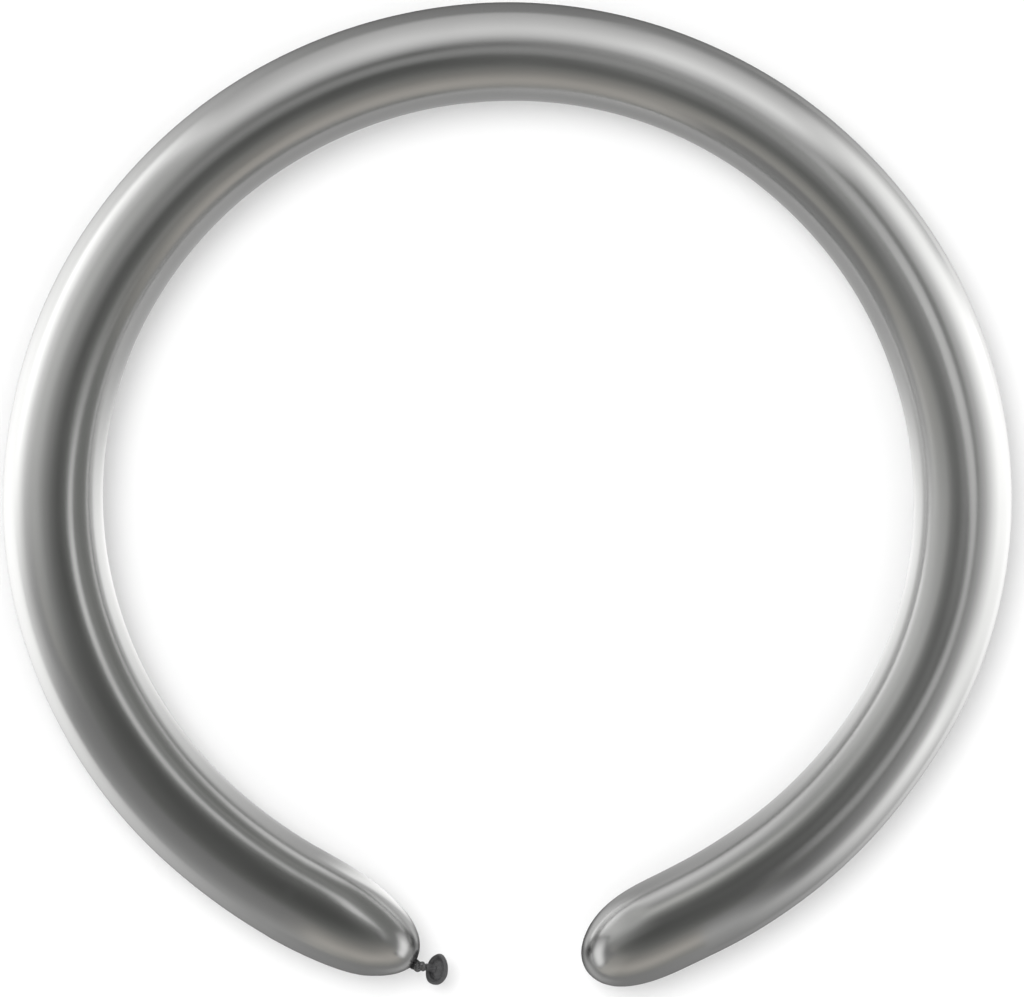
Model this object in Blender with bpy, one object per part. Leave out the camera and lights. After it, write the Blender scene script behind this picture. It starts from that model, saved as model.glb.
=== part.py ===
"""A modelling balloon, blown up, tied and bent round into a ring that stays open on one side.

Metres, +Z up. The ring lies flat on the floor at z = 0, and x = y = 0 is the middle of its outline. Its two ends
face each other across the gap on the -Y side, and the tied end is the one at -X. Sizes below are millimetres.
"""

import math

import bmesh
import bpy
from mathutils import Matrix, Vector
from mathutils.geometry import interpolate_bezier

MM = 0.001
GAP = 0.3  # between pieces that touch on the real balloon

# The ring as it lies. The bearing goes clockwise from +Y, seen from above, from the neck round to the closed tip.
#   bearing (deg), centre line to the middle, tube radius
RING = (
    (191.1, 249.0, 26.0),
    (193.4, 243.7, 26.1),
    (196.8, 240.0, 26.2),
    (202.2, 236.2, 26.4),
    (210.0, 234.6, 26.5),
    (220.0, 234.3, 26.4),
    (240.0, 235.5, 26.4),
    (262.0, 236.5, 26.2),
    (285.0, 235.5, 25.7),
    (310.0, 233.0, 25.7),
    (335.0, 230.7, 25.8),
    (360.0, 230.5, 25.6),
    (385.0, 231.7, 25.1),
    (410.0, 233.5, 25.2),
    (432.0, 235.7, 25.6),
    (455.0, 237.2, 25.4),
    (472.0, 237.1, 24.9),
    (486.0, 235.9, 24.7),
    (500.0, 235.7, 25.2),
    (510.0, 236.1, 25.4),
    (521.9, 238.9, 25.1),
    (530.7, 249.1, 24.9),
)
RING_SPLITS = 900  # straight bits that the centre line is measured in
SIDES = 24  # of the tube's section, one of them flat on the floor
SECTION_STEP = 16.0  # between sections along the plain part of the tube
DOME_SECTIONS = 13  # in each end
WALL = 1.0
SHARP_ANGLE = 40.0  # between faces that meet in an edge, in degrees

TIED_DOME = 50.0  # length over which the tied end narrows
TIP_DOME = 39.0  # length over which the other end rounds off
NECK_RADIUS = 2.7
NECK_LENGTH = 1.2

STRAND_RADIUS = 0.75
KNOT_UNIT = 1.15  # size of one unit of the knot's curve
KNOT_RISE = 1.5  # how far the strands pass over each other, in those units
KNOT_REACH = 2.3  # how much of the curve is in the knot, each way from its middle, in radians
KNOT_POINTS = 49
KNOT_TURN = 1.4  # how early the strand bends from the knot to the neck and to the hinge
KNOT_LIFT = 3.0  # from the line between neck and hinge to the middle of the knot's curve, in those units
KNOT_LEAN = 30.0  # degrees from upright, towards -Y
PLUG_RADIUS = 1.35  # where the gathered neck fills its own opening
PLUG_DEPTH = 2.6
PLUG_POINTS = (1.0, 0.7, 0.35, 0.1)  # as parts of that depth
LEAD_IN = 0.5  # from the neck's rim inward to where the strand begins
LEAD_OUT = 1.5  # from where the strand ends to the hinge
LEAD_POINTS = 8
BALL_RADIUS = 1.4
BALL_START = 144.0  # the ball's points run from here to BALL_END, in degrees from the tail's axis
BALL_END = 3.6
BALL_POINTS = 9

LIP_CENTRE = Vector((-36.5, -247.1, 18.3))
TAIL_AXIS = Vector((0.740, -0.198, -0.643)).normalized()  # from the knot to the mouth
TAIL_LENGTH = 7.6  # from the hinge to the middle of the lip
CUP_RADIUS = BALL_RADIUS + GAP
CUP_WALL = 0.55
CUP_REACH = 62.0  # how far the cup goes round the ball, in degrees from the tail's axis
STEM_RADIUS = 1.85
STEM_LENGTH = 4.9  # from the hinge
STEM_WAIST = (2.7, 1.67)  # distance from the hinge, radius
STEM_WIDENS = 3.9  # from the hinge to where the stem begins to widen
STEM_END = 2.0  # its radius at the mouth
FLARE_BACK = ((0.0, 0.0), (0.0, 1.95), (0.5, 2.9), (1.2, 4.1))  # distance from the stem's end, radius
FLARE_FRONT = ((-0.1, 4.5), (-0.6, 3.2), (-1.0, 2.0), (-1.25, 0.0))  # distance from the lip's middle, radius
FLARE_RIM = 0.45  # half the flare's thickness at its rim
LIP_MAJOR = 6.8
LIP_MINOR = 1.2
LIP_SIDES = 12
TURNS = 36  # sides of the turned pieces


def spline(column, bearing):
    """A smooth value of RING's column at this bearing, by cubics between its rows."""
    keys = [row[0] for row in RING]
    values = [row[column] for row in RING]
    last = len(keys) - 1
    i = 0
    while i < last - 1 and bearing > keys[i + 1]:
        i += 1
    slopes = []
    for j in (i, i + 1):
        before = max(j - 1, 0)
        after = min(j + 1, last)
        slopes.append((values[after] - values[before]) / (keys[after] - keys[before]))
    width = keys[i + 1] - keys[i]
    t = (bearing - keys[i]) / width
    start = values[i] * (1 + 2 * t) + slopes[0] * width * t
    end = values[i + 1] * (3 - 2 * t) - slopes[1] * width * (1 - t)
    return start * (1 - t) ** 2 + end * t**2


def centre_line():
    """[distance from the neck, point, tube radius] in close steps along the tube."""
    rows = []
    for i in range(RING_SPLITS + 1):
        bearing = RING[0][0] + (RING[-1][0] - RING[0][0]) * i / RING_SPLITS
        tube = spline(2, bearing)
        point = Matrix.Rotation(-math.radians(bearing), 3, "Z") @ Vector((0, spline(1, bearing), 0))
        point.z = tube * math.cos(math.pi / SIDES)
        distance = rows[-1][0] + (point - rows[-1][1]).length if rows else 0.0
        rows.append((distance, point, tube))
    return rows


def place_on(rows, distance):
    """(matrix, tube radius) of the section at this distance: it stands upright, across the tube."""
    i = min(max(1, sum(row[0] < distance for row in rows)), len(rows) - 1)
    a, b = rows[i - 1], rows[i]
    t = (distance - a[0]) / (b[0] - a[0])
    along = (b[1] - a[1]).to_2d().to_3d().normalized()
    across = Vector((0, 0, 1)).cross(along)
    turn = Matrix((across, Vector((0, 0, 1)), along)).transposed().to_4x4()
    flat_down = Matrix.Rotation(math.pi / SIDES, 4, "Z")
    return Matrix.Translation(a[1].lerp(b[1], t)) @ turn @ flat_down, a[2] + (b[2] - a[2]) * t


def dome(part):
    """Half an ellipse: 0 at the pole, and 1 from the dome's foot on."""
    return math.sqrt(max(0.0, 1 - (1 - min(max(part, 0.0), 1.0)) ** 2))


def section_distances(total):
    """Distances of the tube's sections: closer towards the ends, and even between the domes."""
    closer = [1 - math.cos(math.pi / 2 * i / DOME_SECTIONS) for i in range(1, DOME_SECTIONS)]
    tied = [NECK_LENGTH + TIED_DOME * part for part in closer]
    tip = [total - TIP_DOME * part for part in reversed(closer)]
    plain = total - TIP_DOME - TIED_DOME - NECK_LENGTH
    count = round(plain / SECTION_STEP)
    middle = [NECK_LENGTH + TIED_DOME + plain * i / count for i in range(count + 1)]
    return [0.0, NECK_LENGTH] + tied + middle + tip


def new_object(name, data, colour, roughness, parent=None):
    """An object at the middle of the ring or, for a piece of the tail, at the hinge, with its own material."""
    material = bpy.data.materials.new(name)
    material.use_nodes = True
    shader = material.node_tree.nodes["Principled BSDF"]
    shader.inputs["Base Color"].default_value = (*colour, 1)
    shader.inputs["Roughness"].default_value = roughness
    shader.inputs["Metallic"].default_value = 1.0
    data.materials.append(material)
    obj = bpy.data.objects.new(name, data)
    obj.parent = parent
    bpy.context.collection.objects.link(obj)
    return obj


def mesh_of(name, bm):
    """A smooth-shaded mesh in metres of what was modelled in millimetres, with its faces outward."""
    bmesh.ops.recalc_face_normals(bm, faces=bm.faces)
    bmesh.ops.scale(bm, vec=(MM, MM, MM), verts=bm.verts)
    mesh = bpy.data.meshes.new(name)
    bm.to_mesh(mesh)
    bm.free()
    mesh.shade_smooth()
    mesh.set_sharp_from_angle(angle=math.radians(SHARP_ANGLE))
    return mesh


def make_envelope():
    """The tube: round sections bridged one to the next, closed at the tip, open at the neck, and then a film."""
    rows = centre_line()
    total = rows[-1][0]
    bm = bmesh.new()
    loop = []
    for distance in section_distances(total):
        place, tube = place_on(rows, distance)
        swell = tube * dome((distance - NECK_LENGTH) / TIED_DOME) * dome((total - distance) / TIP_DOME)
        radius = max(NECK_RADIUS, swell)
        circle = bmesh.ops.create_circle(bm, segments=SIDES, radius=radius, matrix=place)["verts"]
        edges = list({edge for vert in circle for edge in vert.link_edges})
        if loop:
            bmesh.ops.bridge_loops(bm, edges=loop + edges)
        loop = edges
    cap = bmesh.ops.contextual_create(bm, geom=loop)["faces"]
    pole = bmesh.ops.poke(bm, faces=cap)["verts"][0]
    pole.co = rows[-1][1]
    obj = new_object("envelope", mesh_of("envelope", bm), (0.42, 0.42, 0.43), 0.2)
    film = obj.modifiers.new("film", "SOLIDIFY")
    film.thickness = WALL * MM
    film.offset = -1
    film.use_even_offset = True
    return obj


def knot_curve(t):
    """A point of the trefoil that an overhand knot follows. It lies nearly flat in the first two directions."""
    return Vector((
        math.sin(t) + 2 * math.sin(2 * t),
        math.cos(t) - 2 * math.cos(2 * t),
        -KNOT_RISE * math.sin(3 * t),
    ))


def hinge_point():
    return LIP_CENTRE - TAIL_AXIS * TAIL_LENGTH


def make_knot():
    """The gathered neck in an overhand knot. It starts as a plug in the neck and ends in a ball at the hinge."""
    rim = place_on(centre_line(), 0.0)[0]
    inward = (rim.to_3x3() @ Vector((0, 0, 1))).normalized()
    start = rim.translation
    hinge = hinge_point()
    forward = (hinge - start).normalized()
    level = Vector((0, 0, 1)).cross(forward).normalized()
    lean = Matrix.Rotation(math.radians(KNOT_LEAN), 3, forward)
    rise = lean @ forward.cross(level)
    side = rise.cross(forward)
    turn = Matrix((forward, rise, side)).transposed() * KNOT_UNIT
    middle = (start + hinge) / 2 + rise * KNOT_LIFT * KNOT_UNIT
    angles = [KNOT_REACH * (1 - 2 * i / (KNOT_POINTS - 1)) for i in range(KNOT_POINTS)]
    lump = [middle + turn @ knot_curve(t) for t in angles]

    plug = [start + inward * PLUG_DEPTH * part for part in PLUG_POINTS]
    ball = []
    for i in range(BALL_POINTS):
        angle = math.radians(BALL_START + (BALL_END - BALL_START) * i / (BALL_POINTS - 1))
        ball.append((hinge + TAIL_AXIS * BALL_RADIUS * math.cos(angle), BALL_RADIUS * math.sin(angle)))
    entry = start - inward * LEAD_IN
    leave = hinge - TAIL_AXIS * LEAD_OUT
    up = (lump[1] - lump[0]).normalized()
    down = (lump[-1] - lump[-2]).normalized()
    lead_in = interpolate_bezier(
        entry, entry - inward * KNOT_TURN, lump[0] - up * KNOT_TURN, lump[0], LEAD_POINTS
    )
    lead_out = interpolate_bezier(
        lump[-1], lump[-1] + down * KNOT_TURN, leave - TAIL_AXIS * KNOT_TURN, leave, LEAD_POINTS
    )
    route = lead_in[:-1] + lump + lead_out[1:]
    strand = [(point, PLUG_RADIUS) for point in plug] + [(point, STRAND_RADIUS) for point in route] + ball

    curve = bpy.data.curves.new("knot", "CURVE")
    curve.dimensions = "3D"
    curve.bevel_depth = MM
    curve.bevel_resolution = 3
    curve.use_fill_caps = True
    path = curve.splines.new("POLY")
    path.points.add(len(strand) - 1)
    for point, (place, radius) in zip(path.points, strand):
        point.co = (*(place * MM), 1)
        point.radius = radius
    return new_object("knot", curve, (0.06, 0.06, 0.065), 0.45)


def turned(name, profile, hinge, colour, closed=False):
    """A piece turned round the tail's axis from its profile of (distance along the axis, radius)."""
    bm = bmesh.new()
    verts = [bm.verts.new((radius, 0, along)) for along, radius in profile]
    pairs = list(zip(verts, verts[1:]))
    if closed:
        pairs.append((verts[-1], verts[0]))
    edges = [bm.edges.new(pair) for pair in pairs]
    bmesh.ops.spin(
        bm, geom=verts + edges, cent=(0, 0, 0), axis=(0, 0, 1), angle=2 * math.pi, steps=TURNS, use_merge=True
    )
    bmesh.ops.remove_doubles(bm, verts=bm.verts, dist=0.0001)
    return new_object(name, mesh_of(name, bm), colour, 0.4, hinge)


def arc(radius, first, last, steps):
    """(distance along the axis, radius) of points round the hinge, between two angles from the axis."""
    angles = [math.radians(first + (last - first) * i / steps) for i in range(steps + 1)]
    return [(radius * math.cos(angle), radius * math.sin(angle)) for angle in angles]


def make_neck_stem(hinge):
    """The gathered neck between the knot and the mouth, with a cup round the hinge's ball."""
    outer = CUP_RADIUS + CUP_WALL
    profile = arc(CUP_RADIUS, 0, CUP_REACH, 6)
    profile += arc(outer, CUP_REACH, math.degrees(math.asin(STEM_WAIST[1] / outer)), 3)
    profile += [STEM_WAIST, (STEM_WIDENS, STEM_RADIUS), (STEM_LENGTH, STEM_END), (STEM_LENGTH, 0)]
    return turned("neck_stem", profile, hinge, (0.07, 0.07, 0.075))


def make_mouth_flare(hinge):
    """The film that opens out from the neck to the mouth, as a shallow dish."""
    back = STEM_LENGTH + GAP
    rim = LIP_MAJOR - LIP_MINOR - GAP
    profile = [(back + along, radius) for along, radius in FLARE_BACK]
    profile += [(TAIL_LENGTH - FLARE_RIM, rim), (TAIL_LENGTH + FLARE_RIM, rim)]
    profile += [(TAIL_LENGTH + along, radius) for along, radius in FLARE_FRONT]
    return turned("mouth_flare", profile, hinge, (0.08, 0.08, 0.085))


def make_rolled_lip(hinge):
    """The bead round the mouth."""
    angles = [2 * math.pi * i / LIP_SIDES for i in range(LIP_SIDES)]
    profile = [(TAIL_LENGTH + LIP_MINOR * math.cos(a), LIP_MAJOR + LIP_MINOR * math.sin(a)) for a in angles]
    return turned("rolled_lip", profile, hinge, (0.07, 0.07, 0.075), closed=True)


def main():
    for obj in list(bpy.data.objects):
        bpy.data.objects.remove(obj)
    make_envelope()
    make_knot()
    hinge = bpy.data.objects.new("tail_hinge", None)
    hinge.location = hinge_point() * MM
    hinge.rotation_mode = "QUATERNION"
    hinge.rotation_quaternion = TAIL_AXIS.to_track_quat("Z", "Y")
    bpy.context.collection.objects.link(hinge)
    make_neck_stem(hinge)
    make_mouth_flare(hinge)
    make_rolled_lip(hinge)


main()
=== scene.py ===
"""A modelling balloon in a metallised finish, blown up, tied, and laid down as an open ring.

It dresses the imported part: the tube, the knot, the neck, the mouth and its rolled lip are each made again as they
look, in the part's own frame. Metres, +Z up, and x = y = 0 is the middle of the ring. Sizes named below without a
unit are millimetres.
"""

import math

import bmesh
import bpy
from bpy.props import FloatProperty, FloatVectorProperty, IntProperty, PointerProperty
from mathutils import Matrix, Vector, noise
from mathutils.geometry import interpolate_bezier


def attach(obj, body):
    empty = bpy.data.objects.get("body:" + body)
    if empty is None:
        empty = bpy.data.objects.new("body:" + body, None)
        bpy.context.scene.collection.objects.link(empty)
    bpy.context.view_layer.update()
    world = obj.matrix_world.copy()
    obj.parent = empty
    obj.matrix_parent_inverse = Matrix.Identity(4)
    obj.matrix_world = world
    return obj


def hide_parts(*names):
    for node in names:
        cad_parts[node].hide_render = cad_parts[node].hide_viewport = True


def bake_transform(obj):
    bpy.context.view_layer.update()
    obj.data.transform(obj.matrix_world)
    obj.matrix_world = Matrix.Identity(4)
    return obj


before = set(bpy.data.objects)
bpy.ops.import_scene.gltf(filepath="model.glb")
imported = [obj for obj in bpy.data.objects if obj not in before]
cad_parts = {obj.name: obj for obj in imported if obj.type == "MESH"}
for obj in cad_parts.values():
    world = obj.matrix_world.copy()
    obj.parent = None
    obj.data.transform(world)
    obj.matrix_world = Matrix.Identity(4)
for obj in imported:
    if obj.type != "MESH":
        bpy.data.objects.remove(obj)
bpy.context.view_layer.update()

bl_info = {
    "name": "Modelling balloon ring",
    "version": (1, 0, 0),
    "blender": (4, 5, 0),
    "location": "3D View > Sidebar > Balloon",
    "description": "Makes the tube, knot, neck and mouth of a tied modelling balloon, and the stage it lies on",
    "category": "Add Mesh",
}

MM = 0.001
UP = Vector((0, 0, 1))
FULL_TURN = 2 * math.pi

# The ring as it lies. The bearing goes clockwise from +Y, seen from above, from the neck round to the closed tip.
#   bearing (deg), centre line to the middle, tube radius
RING = (
    (191.1, 249.0, 26.0),
    (193.4, 243.7, 26.1),
    (196.8, 240.0, 26.2),
    (202.2, 236.2, 26.4),
    (210.0, 234.6, 26.5),
    (220.0, 234.3, 26.4),
    (240.0, 235.5, 26.4),
    (262.0, 236.5, 26.2),
    (285.0, 235.5, 25.7),
    (310.0, 233.0, 25.7),
    (335.0, 230.7, 25.8),
    (360.0, 230.5, 25.6),
    (385.0, 231.7, 25.1),
    (410.0, 233.5, 25.2),
    (432.0, 235.7, 25.6),
    (455.0, 237.2, 25.4),
    (472.0, 237.1, 24.9),
    (486.0, 235.9, 24.7),
    (500.0, 235.7, 25.2),
    (510.0, 236.1, 25.4),
    (521.9, 238.9, 25.1),
    (530.7, 249.1, 24.9),
)
RING_STEP = 0.25  # degrees of bearing between the points that the tube's length is measured over
LOOK_AHEAD = 0.01  # degrees of bearing over which the tube's direction is taken
EVEN_OUT = (-2.0, -1.0, 0.0, 1.0, 2.0)  # degrees of bearing over which its line is evened out
CONTACT = math.cos(math.pi / 24)  # the tube's middle stands this share of its radius above the floor
TIED_DOME = (75.0, 3.0)  # length over which the tied end narrows, and how late it narrows most
TIP_DOME = (49.0, 2.5)  # the same of the other end
NECK_RADIUS = 2.7
NECK_LENGTH = 1.2

# The overhand knot and the joint's own point. The knot is drawn tighter here than in the part, so its turns meet.
KNOT_UNIT = 0.92  # size of one unit of its curve
KNOT_RISE = 1.25  # how far the strands pass over each other, in those units
KNOT_REACH = 2.3  # how much of the curve is in the knot, each way from its middle, in radians
KNOT_TURN = 1.2  # how early the strand bends from the knot to the neck and to the hinge
KNOT_LIFT = 0.35  # from the line between neck and hinge to the middle of the curve, in those units
KNOT_BACK = 0.9  # from halfway between neck and hinge back towards the neck
KNOT_LEAN = 30.0  # degrees from upright, towards -Y
LIP_CENTRE = Vector((-36.5, -247.1, 18.3))
TAIL_AXIS = Vector((0.740, -0.198, -0.643)).normalized()
TAIL_LENGTH = 7.6
HINGE = LIP_CENTRE - TAIL_AXIS * TAIL_LENGTH
STEM_LENGTH = 4.9
TUCK_AT = math.radians(228)  # where the flare is tucked in deepest behind the bead, from the mouth's sideways


def linear(hex_colour):
    """The linear red, green, blue and alpha of an sRGB colour written as #rrggbb."""
    parts = [int(hex_colour[i : i + 2], 16) / 255 for i in (1, 3, 5)]
    return (*[p / 12.92 if p <= 0.04045 else ((p + 0.055) / 1.055) ** 2.4 for p in parts], 1.0)


def smooth(value, low, high):
    """0 below low, 1 above high, and an even curve between."""
    part = min(max((value - low) / (high - low), 0.0), 1.0)
    return part * part * (3 - 2 * part)


def add_node(tree, kind, inputs=(), **settings):
    """A node with its settings. inputs maps its sockets to numbers, or to the outputs that feed them."""
    node = tree.nodes.new(kind)
    for name, value in settings.items():
        setattr(node, name, value)
    for socket, value in dict(inputs).items():
        if isinstance(value, bpy.types.NodeSocket):
            tree.links.new(value, node.inputs[socket])
        else:
            node.inputs[socket].default_value = value
    return node


def new_material(name):
    """(material, node tree, its Principled shader)"""
    material = bpy.data.materials.new(name)
    material.use_nodes = True
    return material, material.node_tree, material.node_tree.nodes["Principled BSDF"]


# Materials ----------------------------------------------------------------------------------------------------------


def metallised_latex(colour, roughness):
    """Metallised latex film, blown up: a grey mirror with a soft blur, a little uneven along the dipped length.

    Where the film is slack, round the knot, its pigment lies closer together, so it is darker and less bright.
    """
    material, tree, shader = new_material("metallised_latex_blown_up")
    straight = add_node(tree, "ShaderNodeAttribute", attribute_name="straight").outputs["Vector"]
    slack = add_node(tree, "ShaderNodeAttribute", attribute_name="slack").outputs["Fac"]
    # Runs from the dipping are about 6 mm wide and 80 mm long, so the pattern is pressed together along the tube.
    runs_at = add_node(tree, "ShaderNodeVectorMath", {0: straight, 1: (1, 1, 0.075)}, operation="MULTIPLY")
    runs = add_node(tree, "ShaderNodeTexNoise", {"Vector": runs_at.outputs[0], "Scale": 160, "Detail": 3})
    # Orange peel of the film, about 1.2 mm between its humps
    peel = add_node(tree, "ShaderNodeTexNoise", {"Vector": straight, "Scale": 800, "Detail": 2})
    clouds = add_node(tree, "ShaderNodeTexNoise", {"Vector": straight, "Scale": 22, "Detail": 2})

    tone = add_node(
        tree, "ShaderNodeMix", {0: clouds.outputs["Fac"], 6: [c * 0.95 for c in colour[:3]] + [1]},
        data_type="RGBA",
    )
    tone.inputs[7].default_value = [min(1.0, c * 1.05) for c in colour[:3]] + [1]
    dark = add_node(tree, "ShaderNodeMix", {0: slack, 6: tone.outputs[2], 7: linear("#4a4a4b")}, data_type="RGBA")
    tree.links.new(dark.outputs[2], shader.inputs["Base Color"])

    blur = add_node(
        tree, "ShaderNodeMapRange",
        {"Value": runs.outputs["Fac"], "From Min": 0.3, "From Max": 0.7, "To Min": roughness - 0.03},
    )
    blur.inputs["To Max"].default_value = roughness + 0.03
    slack_blur = add_node(tree, "ShaderNodeMath", {0: slack, 1: 0.2, 2: blur.outputs[0]}, operation="MULTIPLY_ADD")
    tree.links.new(slack_blur.outputs[0], shader.inputs["Roughness"])

    shader.inputs["Metallic"].default_value = 1.0
    long_bump = add_node(
        tree, "ShaderNodeBump", {"Strength": 0.35, "Distance": 0.00012, "Height": runs.outputs["Fac"]}
    )
    fine_bump = add_node(
        tree, "ShaderNodeBump",
        {"Strength": 0.3, "Distance": 0.00002, "Height": peel.outputs["Fac"], "Normal": long_bump.outputs[0]},
    )
    tree.links.new(fine_bump.outputs[0], shader.inputs["Normal"])
    return material


def latex_at_rest(name, colour, painted_crest_colour, roughness, metallic=0.35):
    """Latex that isn't stretched: thick and dense, dark with a satin skin, crossed by fine gathers.

    The base colour follows the height of the gathers: painted shade in their hollows and a painted lighter tone on
    their crests. Drawn tight, as in the knot, the film keeps more of its metallic sheen.
    """
    material, tree, shader = new_material(name)
    place = add_node(tree, "ShaderNodeTexCoord").outputs["Object"]
    # Gathers in the film are about 0.5 mm apart, and the skin's own grain about 0.15 mm.
    gathers = add_node(tree, "ShaderNodeTexNoise", {"Vector": place, "Scale": 1400, "Detail": 3, "Distortion": 0.6})
    grain = add_node(tree, "ShaderNodeTexNoise", {"Vector": place, "Scale": 6500, "Detail": 2})
    # Painted shade and painted highlight: darker in the hollows of the gathers and lighter on their crests, from the
    # same noise as the folds' bump
    tone = add_node(tree, "ShaderNodeMix", {0: gathers.outputs["Fac"], 6: colour, 7: painted_crest_colour}, data_type="RGBA")
    tree.links.new(tone.outputs[2], shader.inputs["Base Color"])
    satin = add_node(
        tree, "ShaderNodeMapRange", {"Value": grain.outputs["Fac"], "To Min": roughness - 0.06, "To Max": roughness + 0.06}
    )
    tree.links.new(satin.outputs[0], shader.inputs["Roughness"])
    shader.inputs["Metallic"].default_value = metallic
    shader.inputs["IOR"].default_value = 1.52
    folds = add_node(
        tree, "ShaderNodeBump", {"Strength": 0.5, "Distance": 0.0001, "Height": gathers.outputs["Fac"]}
    )
    skin = add_node(
        tree, "ShaderNodeBump",
        {"Strength": 0.4, "Distance": 0.00002, "Height": grain.outputs["Fac"], "Normal": folds.outputs[0]},
    )
    tree.links.new(skin.outputs[0], shader.inputs["Normal"])
    return material


def matte_board(colour):
    """Matte white board: no gloss, and a grain of about 2 mm that only just shows."""
    material, tree, shader = new_material("matte_white_board")
    place = add_node(tree, "ShaderNodeTexCoord").outputs["Object"]
    grain = add_node(tree, "ShaderNodeTexNoise", {"Vector": place, "Scale": 500, "Detail": 2})
    tone = add_node(
        tree, "ShaderNodeMix", {0: grain.outputs["Fac"], 6: [c * 0.99 for c in colour[:3]] + [1], 7: colour},
        data_type="RGBA",
    )
    tree.links.new(tone.outputs[2], shader.inputs["Base Color"])
    shader.inputs["Roughness"].default_value = 1.0
    shader.inputs["Specular IOR Level"].default_value = 0.0
    return material


# The ring's line ----------------------------------------------------------------------------------------------------


def along_ring(column, bearing):
    """A smooth value of RING's column at this bearing, by cubics between its rows."""
    keys = [row[0] for row in RING]
    values = [row[column] for row in RING]
    last = len(keys) - 1
    i = 0
    while i < last - 1 and bearing > keys[i + 1]:
        i += 1
    slopes = []
    for j in (i, i + 1):
        before = max(j - 1, 0)
        after = min(j + 1, last)
        slopes.append((values[after] - values[before]) / (keys[after] - keys[before]))
    width = keys[i + 1] - keys[i]
    t = (bearing - keys[i]) / width
    start = values[i] * (1 + 2 * t) + slopes[0] * width * t
    end = values[i + 1] * (3 - 2 * t) - slopes[1] * width * (1 - t)
    return start * (1 - t) ** 2 + end * t**2


def ring_row_point(bearing):
    """The middle of the tube at this bearing, straight from RING's rows."""
    out = Matrix.Rotation(-math.radians(bearing), 3, "Z") @ Vector((0, along_ring(1, bearing), 0))
    return out + UP * along_ring(2, bearing) * CONTACT


def ring_point(bearing):
    """The middle of the tube at this bearing, evened out over a few degrees on both sides of it.

    Past an end of the ring, its line goes on as the reverse of what comes before.
    """
    points = []
    for step in EVEN_OUT:
        at = bearing + step
        last = min(max(at, RING[0][0]), RING[-1][0])
        points.append(2 * ring_row_point(last) - ring_row_point(2 * last - at))
    return sum(points, Vector()) / len(points)


def ring_lengths():
    """[(distance from the neck, bearing)] in close steps along the tube."""
    first, last = RING[0][0], RING[-1][0]
    count = math.ceil((last - first) / RING_STEP)
    rows = [(0.0, first)]
    before = ring_point(first)
    for i in range(1, count + 1):
        bearing = first + (last - first) * i / count
        point = ring_point(bearing)
        rows.append((rows[-1][0] + (point - before).length, bearing))
        before = point
    return rows


def ring_section(rows, distance):
    """(middle, direction to the inside of the ring, direction along the tube, tube radius) at this distance."""
    i = 1
    while i < len(rows) - 1 and rows[i][0] < distance:
        i += 1
    a, b = rows[i - 1], rows[i]
    bearing = a[1] + (b[1] - a[1]) * (distance - a[0]) / (b[0] - a[0])
    low, high = RING[0][0], RING[-1][0]
    inside = min(max(bearing, low), high)
    ahead = ring_point(min(inside + LOOK_AHEAD, high)) - ring_point(max(inside - LOOK_AHEAD, low))
    along = ahead.to_2d().to_3d().normalized()
    beyond = (bearing - inside) * (b[0] - a[0]) / (b[1] - a[1])
    return ring_point(inside) + along * beyond, UP.cross(along), along, along_ring(2, inside)


def dome(distance, end):
    """0 at the pole of a rounded end, and 1 from its foot on, with no break in the curve there."""
    length, power = end
    return math.sqrt(1 - (1 - min(max(distance / length, 0.0), 1.0)) ** power)


# Meshes -------------------------------------------------------------------------------------------------------------


def loft(bm, rings, close_start=True, close_end=True):
    """Joins rings of points with four-sided faces. An end is closed by a fan round its middle."""
    loops = [[bm.verts.new(point) for point in ring] for ring in rings]
    for first, second in zip(loops, loops[1:]):
        for i in range(len(first)):
            j = (i + 1) % len(first)
            bm.faces.new((first[i], first[j], second[j], second[i]))
    for loop, wanted in ((loops[0], close_start), (loops[-1], close_end)):
        if wanted:
            middle = bm.verts.new(sum((v.co for v in loop), Vector()) / len(loop))
            for i in range(len(loop)):
                bm.faces.new((loop[i], loop[(i + 1) % len(loop)], middle))
    return loops


def finish_mesh(name, bm, material):
    """A smooth-shaded object in metres of what was modelled in millimetres, with its faces outward."""
    bmesh.ops.recalc_face_normals(bm, faces=bm.faces)
    bmesh.ops.scale(bm, vec=(MM, MM, MM), verts=bm.verts)
    mesh = bpy.data.meshes.new(name)
    bm.to_mesh(mesh)
    bm.free()
    mesh.shade_smooth()
    mesh.materials.append(material)
    obj = bpy.data.objects.new(name, mesh)
    bpy.context.collection.objects.link(obj)
    return obj


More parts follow.
